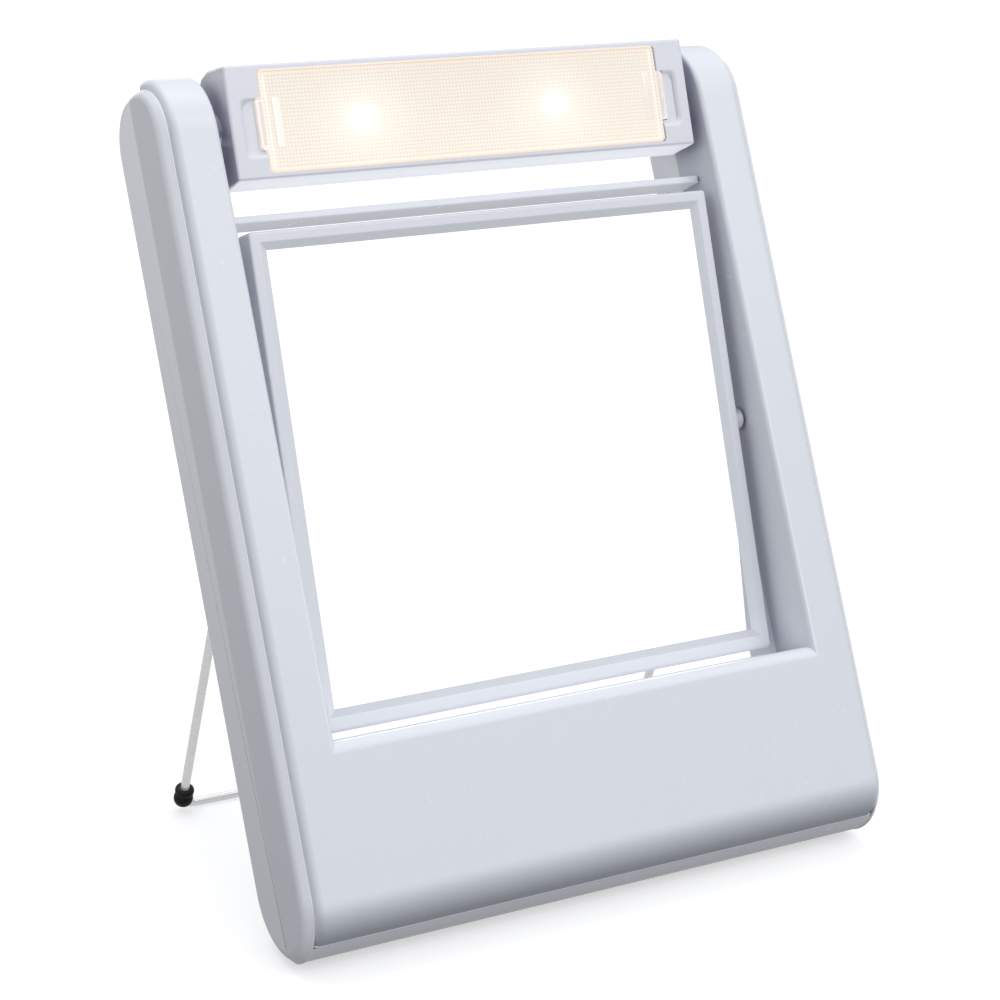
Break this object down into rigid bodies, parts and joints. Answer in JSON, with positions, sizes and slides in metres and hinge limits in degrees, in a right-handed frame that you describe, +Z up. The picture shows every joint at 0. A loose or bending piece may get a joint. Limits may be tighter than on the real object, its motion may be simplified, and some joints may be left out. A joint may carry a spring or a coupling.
{
  "type": "lighted travel mirror",
  "caption": "Folding travel mirror: white two-armed case leaning on a fold-out wire stand, with a two-sided flip mirror between the arms and a tilting lamp bar with prismatic diffuser above it.",
  "frame": {"origin": "centre of the footprint box, on the table plane", "axes": "+Z up off the table, +Y to the back (the side the wire stand folds out on), +X to the viewer's right when facing the mirror"},
  "size_m": [0.1548, 0.1048, 0.1885],
  "materials": {
    "white_shell": "glossy",
    "white_frame": "glossy",
    "white_lamp": "glossy",
    "steel_screw": "satin",
    "spring_steel": "satin",
    "clear_silicone": "satin",
    "tray_plastic": "matte",
    "cell_jacket": "satin",
    "nickel_plate": "satin",
    "black_plastic": "satin",
    "lead_sleeve": "satin",
    "stand_steel": "satin",
    "black_rubber": "matte",
    "acetal": "satin",
    "mirror_silver": "polished",
    "core_card": "matte",
    "lens_clear": "prismatic",
    "reflector_film": "polished",
    "bulb_glass": "clear",
    "filament": "glowing",
    "bulb_brass": "satin",
    "holder_plastic": "matte"
  },
  "bodies": {
    "case": {"front_panel": "white_shell", "front_shell": "white_shell", "rear_shell": "white_shell", "cross_plate": "white_shell", "case_screws": "steel_screw", "anti_slip_pads": "clear_silicone", "battery_tray": "tray_plastic", "battery_cells": "cell_jacket", "battery_springs": "spring_steel", "battery_contacts": "nickel_plate", "switch_body": "black_plastic", "case_leads": "lead_sleeve", "stand_washers": "acetal", "mirror_bushes": "acetal", "lamp_bushes": "acetal"},
    "mirror": {"mirror_front_frame": "white_frame", "mirror_rear_frame": "white_frame", "mirror_glass_plain": "mirror_silver", "mirror_glass_magnifying": "mirror_silver", "mirror_core_pad": "core_card", "mirror_pins": "spring_steel"},
    "lamp": {"lamp_bezel": "white_lamp", "lamp_housing": "white_lamp", "lamp_reflector": "reflector_film", "lamp_bulbs": "bulb_glass", "bulb_filaments": "filament", "bulb_bases": "bulb_brass", "bulb_holders": "holder_plastic", "lamp_leads": "lead_sleeve", "lamp_screws": "steel_screw", "lamp_washers": "spring_steel"},
    "diffuser": {"lamp_lens": "lens_clear"},
    "stand": {"stand_wire": "stand_steel", "stand_feet": "black_rubber"},
    "door": {"battery_door": "white_shell"},
    "switch": {"switch_knob": "black_plastic"}
  },
  "joints": [
    {"name": "mirror_flip", "type": "hinge", "parent": "case", "child": "mirror", "pos_m": [0, -0.00174, 0.09873], "axis": [1, 0, 0], "continuous": true},
    {"name": "lamp_tilt", "type": "hinge", "parent": "case", "child": "lamp", "pos_m": [0, 0.03165, 0.1734], "axis": [1, 0, 0], "range_deg": [-80, 60]},
    {"name": "diffuser_unclip", "type": "slide", "parent": "lamp", "child": "diffuser", "axis": [0, -0.9423, 0.3346], "range_m": [0, 0.007]},
    {"name": "stand_fold", "type": "hinge", "parent": "case", "child": "stand", "pos_m": [0, 0.01091, 0.08778], "axis": [1, 0, 0], "range_deg": [-47.81, 0]},
    {"name": "battery_door_lift", "type": "slide", "parent": "case", "child": "door", "axis": [0, 0.9041, -0.4274], "range_m": [0, 0.04]},
    {"name": "switch_slide", "type": "slide", "parent": "case", "child": "switch", "axis": [0, 0.4274, 0.9041], "range_m": [-0.004, 0]}
  ]
}
